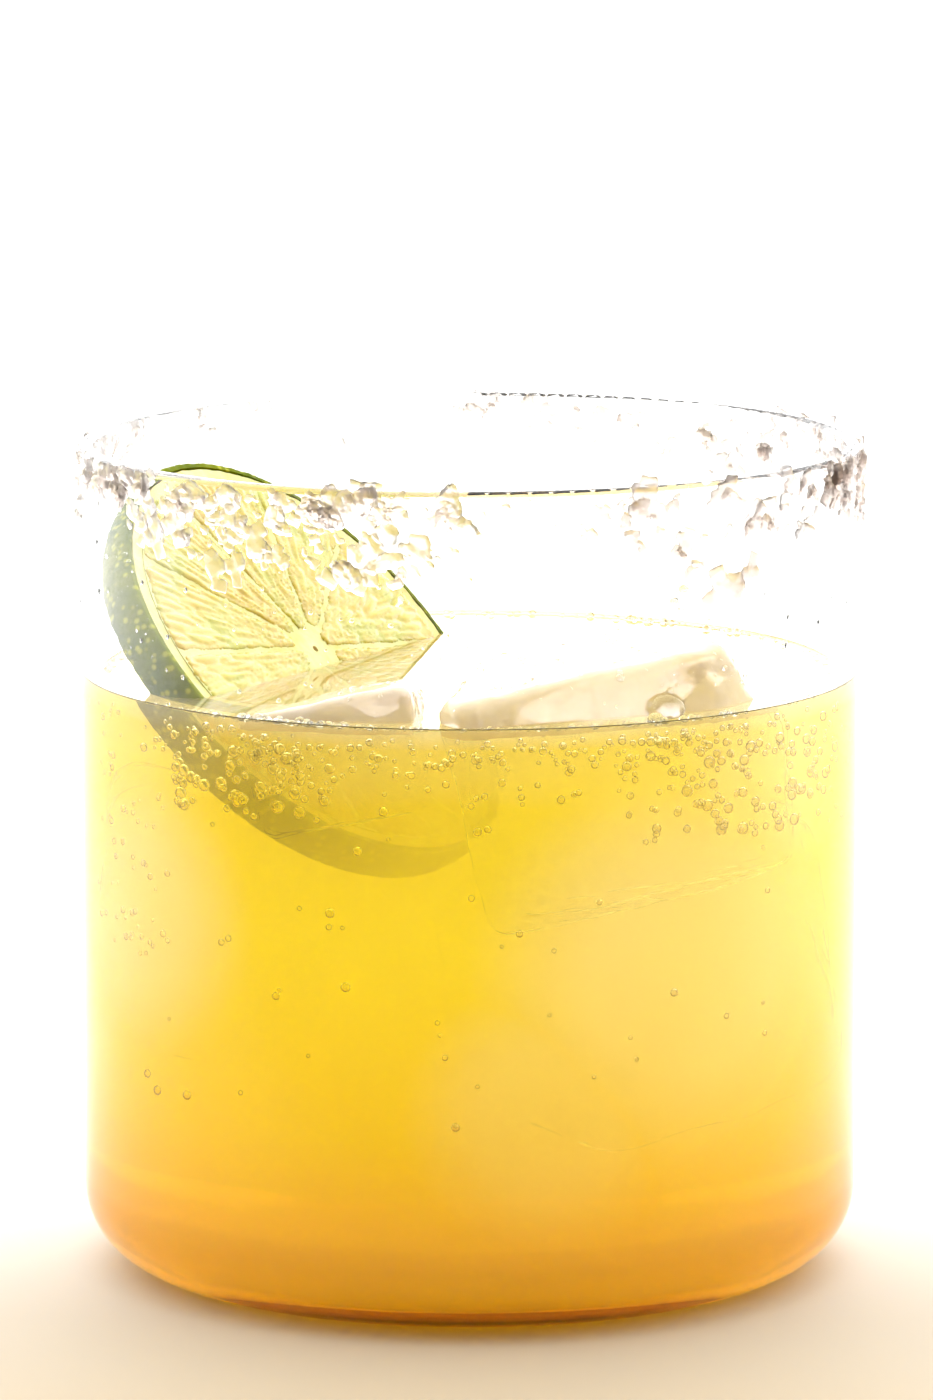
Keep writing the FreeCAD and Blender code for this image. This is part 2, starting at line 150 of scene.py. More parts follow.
def ruffle(thing, size, strength, kind="CLOUDS", depth=2, middle=.5):  # an uneven surface
    pattern = bpy.data.textures.new(thing.name + " ruffle", kind)
    pattern.noise_scale = size
    if kind == "CLOUDS":
        pattern.noise_depth = depth
    useModifier(thing, "DISPLACE", texture=pattern, strength=strength, mid_level=middle,
                texture_coords="LOCAL")


def onWall(azimuth, height, radius, turn=0.0, scale=(1, 1, 1)):  # local Z looks away from the axis
    angle = math.radians(azimuth)
    outward = Vector((math.cos(angle), math.sin(angle), 0))
    place = Matrix.Translation(outward * radius + Vector((0, 0, height)))
    facing = outward.to_track_quat("Z", "Y").to_matrix().to_4x4()
    return place @ facing @ Matrix.Rotation(turn, 4, "Z") @ Matrix.Diagonal((*scale, 1))


def copyTo(thing, place):
    copy = thing.copy()
    copy.data = thing.data.copy()
    bpy.context.scene.collection.objects.link(copy)
    copy.matrix_world = place
    return copy


def unitBall():  # few faces, because it is copied hundreds of times
    bpy.ops.mesh.primitive_ico_sphere_add(subdivisions=2, radius=1)
    return bpy.context.object


def newMaterial(name, **values):
    material = bpy.data.materials.new(name)
    material.use_nodes = True
    shader = material.node_tree.nodes["Principled BSDF"]
    for key, value in values.items():
        shader.inputs[key.replace("_", " ")].default_value = value
    return material, material.node_tree, shader


def objectCoordinates(tree):
    return tree.nodes.new("ShaderNodeTexCoord").outputs["Object"]


def alongAxis(tree, axis):
    separate = tree.nodes.new("ShaderNodeSeparateXYZ")
    tree.links.new(objectCoordinates(tree), separate.inputs["Vector"])
    return separate.outputs[axis]


def shareBetween(tree, value, low, high):  # 0 at low, 1 at high
    share = tree.nodes.new("ShaderNodeMapRange")
    share.inputs["From Min"].default_value = low
    share.inputs["From Max"].default_value = high
    tree.links.new(value, share.inputs["Value"])
    return share.outputs["Result"]


def noiseField(tree, size, detail=3):  # size in metres
    field = tree.nodes.new("ShaderNodeTexNoise")
    field.inputs["Scale"].default_value = 1 / size
    field.inputs["Detail"].default_value = detail
    tree.links.new(objectCoordinates(tree), field.inputs["Vector"])
    return field.outputs["Fac"]


def ramp(tree, value, stops):
    node = tree.nodes.new("ShaderNodeValToRGB")
    marks = node.color_ramp.elements
    while len(marks) < len(stops):
        marks.new(.5)
    for mark, (position, colour) in zip(marks, stops):
        mark.position = position
        mark.color = (*colour, 1)
    tree.links.new(value, node.inputs["Fac"])
    return node.outputs["Color"]


def mathNode(tree, operation, first, second):
    node = tree.nodes.new("ShaderNodeMath")
    node.operation = operation
    for socket, value in zip(node.inputs, (first, second)):
        if isinstance(value, (int, float)):
            socket.default_value = value
        else:
            tree.links.new(value, socket)
    return node.outputs["Value"]


def mixColours(tree, factor, first, second, blend="MIX"):
    node = tree.nodes.new("ShaderNodeMix")
    node.data_type = "RGBA"
    node.blend_type = blend
    for socket, value in ((node.inputs[0], factor), (node.inputs[6], first), (node.inputs[7], second)):
        if isinstance(value, (int, float)):
            socket.default_value = value
        elif isinstance(value, tuple):
            socket.default_value = (*value, 1)
        else:
            tree.links.new(value, socket)
    return node.outputs[2]


def bumpFrom(tree, shader, height, depth, strength=1.0):
    bump = tree.nodes.new("ShaderNodeBump")
    bump.inputs["Strength"].default_value = strength
    bump.inputs["Distance"].default_value = depth
    tree.links.new(height, bump.inputs["Height"])
    tree.links.new(bump.outputs["Normal"], shader.inputs["Normal"])


def rideAs(thing, slot, *replaced):  # the piece goes with the glass
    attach(thing, "root")
    if replaced:
        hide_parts(*replaced)


glassLook = dict(ior=1.5, tint=(.985, .995, .99), drift=(.995, 1, .998), driftSize=.03)  # size in metres


def finishGlass():
    material, tree, shader = newMaterial(
        "clear tumbler glass", Roughness=0.0, IOR=glassLook["ior"], Transmission_Weight=1.0)
    drift = noiseField(tree, glassLook["driftSize"], 1)
    colour = ramp(tree, drift, [(.3, glassLook["tint"]), (.7, glassLook["drift"])])
    tree.links.new(colour, shader.inputs["Base Color"])
    glass = nodes["glass"]
    glass.data.materials.clear()
    glass.data.materials.append(material)
    print("glass finished")


iceLook = dict(
    voxel=.0006, softening=6, swell=.0007, swellSize=.007, ripple=.00022, rippleSize=.0018,
    waterline=.0012,  # how far below the drink's surface the wet finish ends
    ior=1.31, roughness=.06, clearness=.6, tint=(.76, .67, .61), cloudSize=.009, cloudGain=1.08,
    frostSize=.0012, frostDepth=.00008, frostStrength=.5)
sunkIceLook = dict(  # under the surface the drink hides all but a faint edge of the ice
    ior=1.006, tint=(.97, .97, .95), corner=.0045, voxel=.0011, swell=.0022, swellSize=.011)
sunkCubes = [  # centre in mm, size in mm, turn about x, y, z in degrees
    ((15.5, -5, 34), (30, 27, 31), (12, -8, 32)),
    ((-23.5, -4, 38), (20, 25, 30), (-10, 14, -25)),
    ((3, 21, 42), (29, 24, 26), (8, 20, 12)),
    ((-8, 12, 18), (25, 26, 22), (30, -15, 50)),
]


def cloudedTint(tree, tint):  # a tint that gets a little lighter in patches
    lighter = tuple(min(1, part * iceLook["cloudGain"]) for part in tint)
    return ramp(tree, noiseField(tree, iceLook["cloudSize"], 4), [(.35, tint), (.65, lighter)])


def wetIceMaterial():
    material, tree, shader = newMaterial(
        "wet ice", Roughness=iceLook["roughness"], IOR=iceLook["ior"],
        Transmission_Weight=iceLook["clearness"])
    tree.links.new(cloudedTint(tree, iceLook["tint"]), shader.inputs["Base Color"])
    frost = noiseField(tree, iceLook["frostSize"])
    bumpFrom(tree, shader, frost, iceLook["frostDepth"], iceLook["frostStrength"])
    return material


def sunkIceMaterial():
    material, tree, shader = newMaterial(
        "sunk ice", Roughness=0.0, IOR=sunkIceLook["ior"], Transmission_Weight=1.0)
    tree.links.new(cloudedTint(tree, sunkIceLook["tint"]), shader.inputs["Base Color"])
    return material


def roughenIce(ice):
    useModifier(ice, "REMESH", mode="VOXEL", voxel_size=iceLook["voxel"])
    useModifier(ice, "SMOOTH", factor=.6, iterations=iceLook["softening"])
    ruffle(ice, iceLook["swellSize"], iceLook["swell"])
    ruffle(ice, iceLook["rippleSize"], iceLook["ripple"], depth=1)
    smooth(ice)


def makeFloatingIce(sunkMaterial):
    wetMaterial = wetIceMaterial()
    waterline = drinkLevel - iceLook["waterline"]
    for node in ("ice_block", "ice_wedge"):
        ice = copyOfNode(node, "wet_" + node)
        roughenIce(ice)
        startEdit(ice)
        bpy.ops.mesh.select_all(action="SELECT")
        bpy.ops.mesh.bisect(plane_co=(0, 0, waterline), plane_no=(0, 0, 1))
        endEdit()
        ice.data.materials.append(wetMaterial)
        ice.data.materials.append(sunkMaterial)
        for face in ice.data.polygons:
            face.material_index = 1 if face.center.z < waterline else 0
        rideAs(ice, "ice", node)
    print("floating ice made")


def makeSunkIce(material):
    for number, (centre, size, turn) in enumerate(sunkCubes, 1):
        place = Matrix.Translation(Vector(centre) * mm)
        for angle, axis in zip(turn, "XYZ"):
            place = place @ Matrix.Rotation(math.radians(angle), 4, axis)
        bpy.ops.mesh.primitive_cube_add(size=1)
        ice = bpy.context.object
        ice.name = ice.data.name = f"sunk_ice_{number}"
        settle(ice, place @ Matrix.Diagonal((*(Vector(size) * mm), 1)))
        useModifier(ice, "BEVEL", width=sunkIceLook["corner"], segments=4)
        useModifier(ice, "REMESH", mode="VOXEL", voxel_size=sunkIceLook["voxel"])
        ruffle(ice, sunkIceLook["swellSize"], sunkIceLook["swell"])
        useModifier(ice, "SMOOTH", factor=.5, iterations=4)
        smooth(ice)
        ice.data.materials.append(material)
        rideAs(ice, "ice")
    print("sunk ice made")


drinkLook = dict(  # sizes in metres, haze and depthOfColour per metre, colours from the floor up
    intoWall=.00015, corner=.00665, cornerSteps=9, sideRings=5, lipDepth=.002,
    meniscusHeight=.0003, meniscusReach=.0012, meniscusSteps=9, meniscusStep=.00002,
    ior=1.333, haze=47, hazeSpread=.3, absorbed=(1.0, .97, .0), depthOfColour=9, clearness=.94,
    # colours: deeper orange towards the floor, partly denser settled juice and partly painted shade where
    # less light reaches the bottom
    colours=[(0, (1.0, .45, .0)), (.13, (1.0, .49, .0)), (.30, (1.0, .65, .0)), (.62, (1.0, .735, .002)),
             (.86, (1.0, .715, .004)), (1, (1.0, .76, .12))],
    paleness=(1.0, .79, .50), openPaleness=.6, patchCore=.25, cloudSize=.022, cloudDrift=.006,
    wallSkin=.00012, surfaceSkin=.0003)
palePatches = [  # where ice is sunk close behind the wall: centre in mm, reach in mm, strength
    ((22, -33, 38), 25, .95), ((8, -39, 24), 16, .5), ((-33, -22, 42), 17, .75), ((30, -26, 56), 16, .5),
    ((36, 14, 40), 22, .7), ((-6, 39, 34), 24, .8), ((-38, 10, 30), 17, .6),
]
bubbleLook = dict(seed=11, smallShare=1.6, underSurface=.0004, offWall=.00006, scatter=.0004)
bubbleZones = [  # azimuth, its spread, height, its spread (mm), how many, smallest and largest radius (mm)
    (-90, 55, 61.2, 1.6, 190, .20, .46),
    (-80, 40, 59.0, 3.0, 70, .24, .50),
    (-125, 15, 58.0, 4.2, 90, .36, .74),
    (-43, 24, 56.5, 5.6, 110, .32, .70),
    (-152, 11, 50.0, 13.0, 70, .20, .46),
    (-92, 58, 42.0, 20.0, 50, .22, .56),
    (20, 90, 56.0, 7.0, 90, .20, .50),
    (110, 80, 55.0, 8.0, 80, .20, .50),
]


def paleShare(tree):  # soft round patches where clear ice thins the colour
    total = None
    for centre, reach, strength in palePatches:
        shift = tree.nodes.new("ShaderNodeVectorMath")
        shift.operation = "DISTANCE"
        tree.links.new(objectCoordinates(tree), shift.inputs[0])
        shift.inputs[1].default_value = Vector(centre) * mm
        fade = tree.nodes.new("ShaderNodeMapRange")
        fade.interpolation_type = "SMOOTHERSTEP"
        fade.inputs["From Min"].default_value = reach * mm
        fade.inputs["From Max"].default_value = reach * drinkLook["patchCore"] * mm
        fade.inputs["To Max"].default_value = strength
        tree.links.new(shift.outputs["Value"], fade.inputs["Value"])
        patch = fade.outputs["Result"]
        total = patch if total is None else mathNode(tree, "MAXIMUM", total, patch)
    return total


def drinkMaterial():
    material, tree, shader = newMaterial(
        "margarita", Roughness=0.0, IOR=drinkLook["ior"], Transmission_Weight=drinkLook["clearness"])
    cloud = mathNode(tree, "SUBTRACT", noiseField(tree, drinkLook["cloudSize"]), .5)
    drift = mathNode(tree, "MULTIPLY", cloud, drinkLook["cloudDrift"])
    height = mathNode(tree, "ADD", alongAxis(tree, "Z"), drift)
    # deeper orange towards the floor: partly settled juice, partly painted shade
    settledAndShadedTint = ramp(tree, shareBetween(tree, height, glassFloor, drinkLevel), drinkLook["colours"])
    colour = mixColours(tree, paleShare(tree), settledAndShadedTint, drinkLook["paleness"])
    hollow = tree.nodes.new("ShaderNodeAttribute")
    hollow.attribute_name = "hollow"
    tree.links.new(mixColours(tree, hollow.outputs["Fac"], colour, (1, 1, 1)), shader.inputs["Base Color"])
    absorb = tree.nodes.new("ShaderNodeVolumeAbsorption")
    absorb.inputs["Color"].default_value = (*drinkLook["absorbed"], 1)
    absorb.inputs["Density"].default_value = drinkLook["depthOfColour"]
    scatter = tree.nodes.new("ShaderNodeVolumeScatter")
    scatter.inputs["Color"].default_value = (1, 1, 1, 1)
    scatter.inputs["Density"].default_value = drinkLook["haze"]
    scatter.inputs["Anisotropy"].default_value = drinkLook["hazeSpread"]
    both = tree.nodes.new("ShaderNodeAddShader")
    tree.links.new(absorb.outputs["Volume"], both.inputs[0])
    tree.links.new(scatter.outputs["Volume"], both.inputs[1])
    tree.links.new(both.outputs["Shader"], tree.nodes["Material Output"].inputs["Volume"])
    return material


def markHollows(drink):  # 1 on the walls round the bubbles, openPaleness on the open top, 0 on the rest of the drink's own outside
    radius = innerRadius + drinkLook["intoWall"]
    base = glassFloor - drinkLook["intoWall"]
    corner = drinkLook["corner"]
    skin = drinkLook["wallSkin"]
    shares = []
    for vertex in drink.data.vertices:
        reach = math.hypot(vertex.co.x, vertex.co.y)
        height = vertex.co.z
        rise = min(height - base, corner)
        limit = radius - corner + math.sqrt(max(0, corner ** 2 - (corner - rise) ** 2))
        if height > drinkLevel - drinkLook["surfaceSkin"]:
            isOpen = reach < radius - skin or height > drinkLevel + skin
            shares.append(drinkLook["openPaleness"] if isOpen else 0.0)
        else:
            isInside = reach < limit - skin and height > base + skin
            shares.append(1.0 if isInside else 0.0)
    layer = drink.data.attributes.new("hollow", "FLOAT", "POINT")
    layer.data.foreach_set("value", shares)


def drinkProfile():
    radius = innerRadius + drinkLook["intoWall"]
    base = glassFloor - drinkLook["intoWall"]
    corner = drinkLook["corner"]
    profile = []
    for step in range(drinkLook["cornerSteps"]):
        angle = math.pi / 2 * step / (drinkLook["cornerSteps"] - 1)
        profile.append((radius - corner + corner * math.sin(angle), base + corner * (1 - math.cos(angle))))
    sideTop = drinkLevel - drinkLook["lipDepth"]
    for step in range(1, drinkLook["sideRings"] + 1):
        rise = (sideTop - base - corner) * step / drinkLook["sideRings"]
        profile.append((radius, base + corner + rise))
    for step in range(drinkLook["meniscusSteps"]):
        share = step / (drinkLook["meniscusSteps"] - 1)
        inward = drinkLook["meniscusReach"] * share ** 1.4
        offWall = drinkLook["meniscusStep"] * (step > 0)
        rise = drinkLook["meniscusHeight"] * (1 - share) ** 2.4
        profile.append((radius - inward - offWall, drinkLevel + rise))
    return profile


def addBubbles(drink):  # closed hollows in the drink, on its wall
    dice = random.Random(bubbleLook["seed"])
    bubble = unitBall()
    startEdit(bubble)
    bpy.ops.mesh.select_all(action="SELECT")
    bpy.ops.mesh.flip_normals()
    endEdit()
    smooth(bubble)
    copies = []
    for azimuth, spread, height, rise, count, smallest, largest in bubbleZones:
        for _ in range(count):
            size = (smallest + (largest - smallest) * dice.random() ** bubbleLook["smallShare"]) * mm
            highest = drinkLevel - size - bubbleLook["underSurface"]
            level = min(height * mm + dice.uniform(-rise, rise) * mm, highest)
            reach = innerRadius - size - bubbleLook["offWall"] - abs(dice.gauss(0, bubbleLook["scatter"]))
            place = onWall(azimuth + dice.uniform(-spread, spread), level, reach, 0, (size, size, size))
            copies.append(copyTo(bubble, place))
    bpy.data.objects.remove(bubble)
    return joinAs(copies + [drink], drink.name)


def makeDrink():
    drink = turnedSolid("cloudy_margarita", drinkProfile())
    smooth(drink, 50)
    drink = addBubbles(drink)
    markHollows(drink)
    drink.data.materials.clear()
    drink.data.materials.append(drinkMaterial())
    rideAs(drink, "drink", "drink")
    print("drink poured")


limeLook = dict(
    radius=.026, thickness=.0046, rind=.0012, pith=.0015, yaw=-29.4, tilt=47.2,
    rindSides=640, rindCrown=.0007, poreDepth=.00016, poreSize=.0009, glandSize=.0011,
    rindDark=(.045, .085, .0), rindLight=(.155, .18, .0), rindPatch=.006,
    gland=(.42, .42, .03), glandStrength=.7,
    pithSides=320, rindHold=.00005, pithSink=.00015, pithLumps=.0003, lumpSize=.0016, crown=.0002,
    membraneSides=160, membraneSink=.00004, core=.0004, overlap=.0003,
    pithShade=(.52, .47, .10), pithLight=(.66, .60, .26), pithPatch=.003)
pulpLook = dict(
    voxel=.00032, plumpness=.00016, seedStep=3.7,
    sacs=19, sacLength=.0045, sacDepth=.00032, sacTwist=120, sacEdge=2.2, sacMiddle=.75,
    colours=[(0, (.58, .48, .10)), (.3, (.48, .36, .0)), (.7, (.50, .385, .002)), (1, (.95, .82, .34))],
    ripeness=[(.36, (.70, .96, .20)), (.5, (1, 1, 1)), (.64, (1.0, .86, .70))],
    ripePatch=.0055, ripeShare=.8)


def limePlace():
    low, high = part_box("lime_rind")
    centre = (Vector(low) + Vector(high)) / 2
    yaw = Matrix.Rotation(math.radians(limeLook["yaw"]), 4, "Z")
    tilt = Matrix.Rotation(math.radians(limeLook["tilt"]), 4, "Y")
    return Matrix.Translation(centre) @ (yaw @ tilt)


def ringBand(name, section, sides):  # a closed ring from a section of (radius, height) points
    radius, height = section[0]
    ring = flatRing(name, radius, height, sides, "NOTHING")
    startEdit(ring, "EDGE")
    bpy.ops.mesh.select_all(action="SELECT")
    for nextRadius, nextHeight in section[1:]:
        bpy.ops.mesh.extrude_edges_move(TRANSFORM_OT_translate={"value": (0, 0, nextHeight - height)})
        bpy.ops.transform.resize(value=(nextRadius / radius, nextRadius / radius, 1))
        radius, height = nextRadius, nextHeight
    bpy.ops.mesh.select_all(action="SELECT")
    bpy.ops.mesh.remove_doubles(threshold=.00001)
    bpy.ops.mesh.normals_make_consistent(inside=False)
    endEdit()
    settle(ring)
    return ring


def bandSection(inner, outer, half, crown, steps):  # closed section, crowned on its outer side
    section = [(inner, -half), (outer - crown, -half)]
    for step in range(1, steps):
        angle = math.pi * (step / steps - .5)
        section.append((outer - crown + crown * math.cos(angle), half * math.sin(angle)))
    section += [(outer - crown, half), (inner, half), (inner, -half)]
    return section


def rindMaterial():
    material, tree, shader = newMaterial(
        "lime rind", Roughness=.5, IOR=1.3, Specular_IOR_Level=.05)
    glands = tree.nodes.new("ShaderNodeTexVoronoi")
    glands.inputs["Scale"].default_value = 1 / limeLook["glandSize"]
    tree.links.new(objectCoordinates(tree), glands.inputs["Vector"])
    patches = noiseField(tree, limeLook["rindPatch"])
    skin = ramp(tree, patches, [(.3, limeLook["rindDark"]), (.62, limeLook["rindLight"])])
    dots = ramp(tree, glands.outputs["Distance"], [(.16, (1, 1, 1)), (.40, (0, 0, 0))])
    share = mathNode(tree, "MULTIPLY", dots, limeLook["glandStrength"])
    colour = mixColours(tree, share, skin, limeLook["gland"])
    tree.links.new(colour, shader.inputs["Base Color"])
    return material


def pithMaterial():
    material, tree, shader = newMaterial(
        "lime pith", Roughness=.5, IOR=1.4, Subsurface_Weight=.3, Subsurface_Scale=.002)
    patches = noiseField(tree, limeLook["pithPatch"], 4)
    colour = ramp(tree, patches, [(.3, limeLook["pithShade"]), (.7, limeLook["pithLight"])])
    tree.links.new(colour, shader.inputs["Base Color"])
    bumpFrom(tree, shader, noiseField(tree, .0008), .0001, .6)
    return material


def pulpMaterial():
    material, tree, shader = newMaterial(
        "lime pulp", Roughness=.2, IOR=1.36, Subsurface_Weight=.4, Subsurface_Scale=.004,
        Subsurface_Radius=(1, .9, .3), Coat_Weight=.3, Coat_Roughness=.08)
    attribute = tree.nodes.new("ShaderNodeAttribute")
    attribute.attribute_name = "sac"
    sacs = ramp(tree, attribute.outputs["Fac"], pulpLook["colours"])
    patches = ramp(tree, noiseField(tree, pulpLook["ripePatch"]), pulpLook["ripeness"])
    colour = mixColours(tree, pulpLook["ripeShare"], sacs, patches, "MULTIPLY")
    tree.links.new(colour, shader.inputs["Base Color"])
    return material


def swellPulp(segment, toWheel, seed):  # drop-shaped juice sacs that point at the wheel's centre
    mesh = segment.data
    layer = mesh.attributes.new("sac", "FLOAT", "POINT")
    shares = []
    normals = [vertex.normal.copy() for vertex in mesh.vertices]
    for vertex, normal in zip(mesh.vertices, normals):
        local = toWheel @ vertex.co
        reach = math.hypot(local.x, local.y)
        angle = math.atan2(local.y, local.x)
        around = angle * pulpLook["sacs"]
        along = reach / pulpLook["sacLength"]
        spot = Vector((around, along, seed + local.z * pulpLook["sacTwist"]))
        distances = noise.voronoi(spot)[0]
        edge = min(1.0, (distances[1] - distances[0]) * pulpLook["sacEdge"])
        share = math.sqrt(edge)
        shares.append(share * (.6 + .4 * noise.noise(spot * 1.7)))
        vertex.co += normal * pulpLook["sacDepth"] * (share - pulpLook["sacMiddle"])
    layer.data.foreach_set("value", shares)


def makeRind(place, inner, half):
    rind = ringBand("lime_skin", bandSection(inner, limeLook["radius"], half, limeLook["rindCrown"], 22),
                    limeLook["rindSides"])
    smooth(rind, 60)
    settle(rind, place)
    ruffle(rind, limeLook["poreSize"], limeLook["poreDepth"], "VORONOI", middle=.9)
    rind.data.materials.append(rindMaterial())
    rideAs(rind, "lime_rind", "lime_rind")


def makePith(place, inner, outer, half):
    reach = outer + limeLook["rindHold"]
    section = bandSection(inner, reach, half - limeLook["pithSink"], limeLook["crown"], 8)
    pith = ringBand("lime_white", section, limeLook["pithSides"])
    smooth(pith, 60)
    settle(pith, place)
    ruffle(pith, limeLook["lumpSize"], limeLook["pithLumps"])
    pith.data.materials.append(pithMaterial())
    rideAs(pith, "lime_pith", "lime_pith")


def makeMembrane(place, outer, half):  # the pale disc whose edges show between the segments
    section = bandSection(limeLook["core"], outer + limeLook["overlap"], half - limeLook["membraneSink"],
                          limeLook["crown"], 4)
    membrane = ringBand("lime_membrane", section, limeLook["membraneSides"])
    smooth(membrane, 60)
    settle(membrane, place)
    membrane.data.materials.append(pithMaterial())
    rideAs(membrane, "lime_pulp")


def makePulp(place):
    toWheel = place.inverted()
    material = pulpMaterial()
    segmentNodes = sorted(name for name in nodes if name.startswith("lime_segment"))
    for number, node in enumerate(segmentNodes, 1):
        segment = copyOfNode(node, f"lime_pulp_{number:02d}")
        useModifier(segment, "REMESH", mode="VOXEL", voxel_size=pulpLook["voxel"])
        useModifier(segment, "DISPLACE", strength=pulpLook["plumpness"], mid_level=0)
        swellPulp(segment, toWheel, number * pulpLook["seedStep"])
        smooth(segment)
        segment.data.materials.append(material)
        rideAs(segment, "lime_pulp", node)


def makeLime():
    place = limePlace()
    half = limeLook["thickness"] / 2
    rindInner = limeLook["radius"] - limeLook["rind"]
    pithInner = rindInner - limeLook["pith"]
    makeRind(place, rindInner, half)
    makePith(place, pithInner, rindInner, half)
    makeMembrane(place, pithInner, half)
    makePulp(place)
    print("lime wheel cut")


saltLook = dict(
    seed=5, lumpShapes=7, crumbShapes=3, lumpFaces=420, crumbFaces=44, crumbSize=.36, thickness=.55,
    voxel=.055, grainSize=.22, grainDepth=.1, topGap=.0008, glassHold=.00005,
    shadeSpan=(.004, .016),  # painted shade: the crystals turn from their own white to greyer and browner between these two places along X
    whiteColours=[(.3, (.88, .84, .81)), (.65, (.99, .97, .96))], whitePatch=.0011,
    paintedShadeColours=[(.4, (.66, .60, .56)), (.6, (.88, .84, .82))], paintedShadePatch=.004,
    frostSize=.00035, frostDepth=.00004, frostStrength=.6)
saltZones = [  # azimuth, its spread, lumps, crumbs, how far down from the rim (mm), size of a lump (mm)
    (-128, 28, 54, 70, 8.0, 2.5),
    (-103, 13, 13, 24, 12.5, 3.0),
    (180, 28, 44, 46, 8.0, 2.2),
    (-3, 24, 38, 46, 8.5, 2.2),
    (-50, 21, 14, 24, 10.5, 3.0),
    (-80, 16, 4, 16, 6.0, 1.6),
    (55, 35, 32, 40, 7.0, 2.1),
    (120, 35, 32, 40, 7.0, 2.1),
]


def saltMaterial():
    material, tree, shader = newMaterial(
        "salt", Roughness=.45, IOR=1.12, Transmission_Weight=.97)
    wet = ramp(tree, noiseField(tree, saltLook["whitePatch"], 4), saltLook["whiteColours"])
    paintedShade = ramp(tree, noiseField(tree, saltLook["paintedShadePatch"], 2), saltLook["paintedShadeColours"])
    # painted shade: the crystals are painted greyer and browner towards +X, over the salt's own white
    side = shareBetween(tree, alongAxis(tree, "X"), *saltLook["shadeSpan"])
    tree.links.new(mixColours(tree, side, wet, paintedShade), shader.inputs["Base Color"])
    frost = noiseField(tree, saltLook["frostSize"])
    bumpFrom(tree, shader, frost, saltLook["frostDepth"], saltLook["frostStrength"])
    return material


def saltLump(number, faces):  # crystals grown together, about 1 across before it is scaled
    dice = random.Random(40 + number)
    crystals = []
    for _ in range(dice.randint(4, 8)):
        bpy.ops.mesh.primitive_cube_add(size=dice.uniform(.35, .7))
        crystal = bpy.context.object
        spot = Matrix.Translation((dice.gauss(0, .24), dice.gauss(0, .24), dice.uniform(.05, .25)))
        turn = Matrix.Rotation(dice.uniform(0, 3), 4, "X") @ Matrix.Rotation(dice.uniform(0, 3), 4, "Z")
        squash = Matrix.Diagonal((dice.uniform(.7, 1.3), dice.uniform(.7, 1.2), dice.uniform(.5, .9), 1))
        settle(crystal, spot @ turn @ squash)
        crystals.append(crystal)
    lump = joinAs(crystals, f"lump {number}")
    useModifier(lump, "REMESH", mode="VOXEL", voxel_size=saltLook["voxel"])
    ruffle(lump, saltLook["grainSize"], saltLook["grainDepth"], "VORONOI")
    useModifier(lump, "SMOOTH", factor=.6, iterations=3)
    useModifier(lump, "DECIMATE", ratio=min(1, faces / (len(lump.data.polygons) * 2)))
    smooth(lump, 55)
    return lump


def makeSalt():
    dice = random.Random(saltLook["seed"])
    lumps = [saltLump(number, saltLook["lumpFaces"]) for number in range(saltLook["lumpShapes"])]
    crumbs = [saltLump(20 + number, saltLook["crumbFaces"]) for number in range(saltLook["crumbShapes"])]
    copies = []
    for azimuth, spread, lumpCount, crumbCount, reach, size in saltZones:
        for count, shapes, share in ((lumpCount, lumps, 1.0), (crumbCount, crumbs, saltLook["crumbSize"])):
            for _ in range(count):
                around = azimuth + dice.uniform(-1, 1) * spread
                middle = max(0.0, 1 - abs(around - azimuth) / spread)
                down = (.3 + (reach * (.35 + .65 * middle)) * dice.random() ** 1.3) * mm
                grow = size * share * dice.uniform(.7, 1.35) * mm
                height = rimHeight - saltLook["topGap"] - down
                turn = dice.uniform(0, 6.28)
                scale = (grow, grow * dice.uniform(.7, 1), grow * saltLook["thickness"])
                place = onWall(around, height, outerRadius - saltLook["glassHold"], turn, scale)
                copies.append(copyTo(dice.choice(shapes), place))
    salt = joinAs(copies, "salt_crystals")
    for shape in lumps + crumbs:
        bpy.data.objects.remove(shape)
    settle(salt)
    salt.data.materials.clear()
    salt.data.materials.append(saltMaterial())
    rideAs(salt, "salt", "salt_rim")
    print("rim salted:", len(salt.data.polygons), "faces")


waterLook = dict(ior=1.333, tint=(.99, 1, 1), drift=(1, 1, .99), driftSize=.004)
dropLook = dict(wallSeed=8, wallFlatness=.6, iceSeed=21, iceFlatness=.55, iceSmallest=.10, aboveDrink=.001)
dropZones = [  # azimuth, its spread, lowest and highest (mm), how many, smallest and largest radius (mm)
    (-90, 75, 66.0, 80.0, 90, .10, .32),
    (-62, 10, 75.0, 77.5, 3, .7, 1.0),
    (90, 100, 66.0, 82.0, 70, .10, .35),
]
meltDrops = [  # piece that the drops sit on, how many, largest radius (mm)
    ("wet_ice_block", 150, .55),
    ("wet_ice_wedge", 26, .4),
    ("lime_skin", 60, .35),
]


def dropShape():  # a flat-backed lens, 1 in radius, bulging along local Z
    drop = unitBall()
    startEdit(drop)
    bpy.ops.mesh.select_all(action="SELECT")
    bpy.ops.mesh.bisect(plane_co=(0, 0, -.1), plane_no=(0, 0, 1), use_fill=True, clear_inner=True)
    endEdit()
    smooth(drop, 60)
    return drop


def waterMaterial(name):
    material, tree, shader = newMaterial(name, Roughness=0.0, IOR=waterLook["ior"], Transmission_Weight=1.0)
    drift = noiseField(tree, waterLook["driftSize"], 1)
    colour = ramp(tree, drift, [(.3, waterLook["tint"]), (.7, waterLook["drift"])])
    tree.links.new(colour, shader.inputs["Base Color"])
    return material


